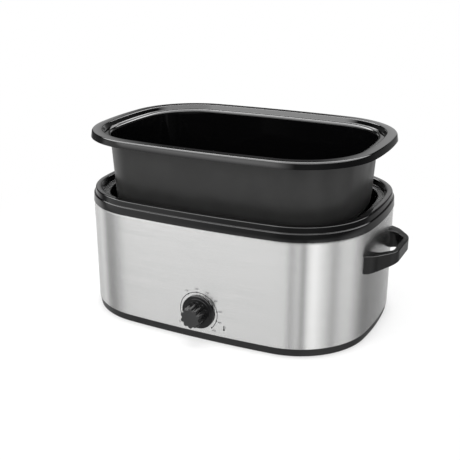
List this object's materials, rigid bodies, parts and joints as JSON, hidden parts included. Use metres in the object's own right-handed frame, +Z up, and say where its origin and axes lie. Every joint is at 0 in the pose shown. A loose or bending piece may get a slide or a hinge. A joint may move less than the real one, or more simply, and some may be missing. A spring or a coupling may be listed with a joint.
{
  "type": "electric roaster oven",
  "caption": "Oblong countertop electric roaster: steel-wrapped heated base with loop handles, a dial thermostat and a lift-out black enamelled pan.",
  "frame": {"origin": "on the surface it stands on, under the middle of the base's plan", "axes": "+X to the right-hand handle, -Y to the front with the knob, +Z up"},
  "size_m": [0.62, 0.4429, 0.3399],
  "materials": {
    "brushed_steel": "horizontally brushed stainless steel",
    "black_enamel": "glossy black enamel on steel",
    "well_enamel": "dark satin enamel",
    "black_plastic": "charcoal moulded plastic",
    "handle_plastic": "black moulded plastic, fine grain",
    "knob_plastic": "black moulded plastic, fine grain",
    "foot_rubber": "matte black rubber",
    "fastener_steel": "zinc-plated steel",
    "heater_sheet": "mica-faced sheet",
    "glass_fibre": "glass-fibre blanket",
    "bright_aluminium": "bright aluminised sheet",
    "capillary_copper": "plain copper",
    "ceramic_white": "white steatite"
  },
  "bodies": {
    "base": {"base_pan": "black_plastic", "foot_1": "foot_rubber", "foot_2": "foot_rubber", "foot_3": "foot_rubber", "foot_4": "foot_rubber", "base_screws": "fastener_steel", "steel_wrap": "brushed_steel", "collar_ring": "black_enamel", "heating_well": "well_enamel", "heater_band": "heater_sheet", "insulation_blanket": "glass_fibre", "heat_reflector": "bright_aluminium", "reflector_spacers": "fastener_steel", "well_spacers": "fastener_steel", "sensor_bulb": "capillary_copper", "sensor_clip": "fastener_steel", "handle_left": "handle_plastic", "handle_right": "handle_plastic", "backing_plate_left": "fastener_steel", "backing_plate_right": "fastener_steel", "handle_screws": "fastener_steel", "thermostat_body": "ceramic_white", "thermostat_nut": "fastener_steel", "cord_outlet": "black_plastic", "terminal_block": "ceramic_white"},
    "pan": {"cooking_pan": "black_enamel"},
    "control": {"knob": "knob_plastic", "knob_shaft": "fastener_steel"}
  },
  "joints": [
    {"name": "pan_lift", "type": "slide", "parent": "base", "child": "pan", "axis": [0, 0, 1], "range_m": [-0.105, 0.07]},
    {"name": "knob_turn", "type": "hinge", "parent": "base", "child": "control", "pos_m": [0.007, -0.1925, 0.056], "axis": [0, 1, 0], "range_deg": [0, 262]}
  ]
}
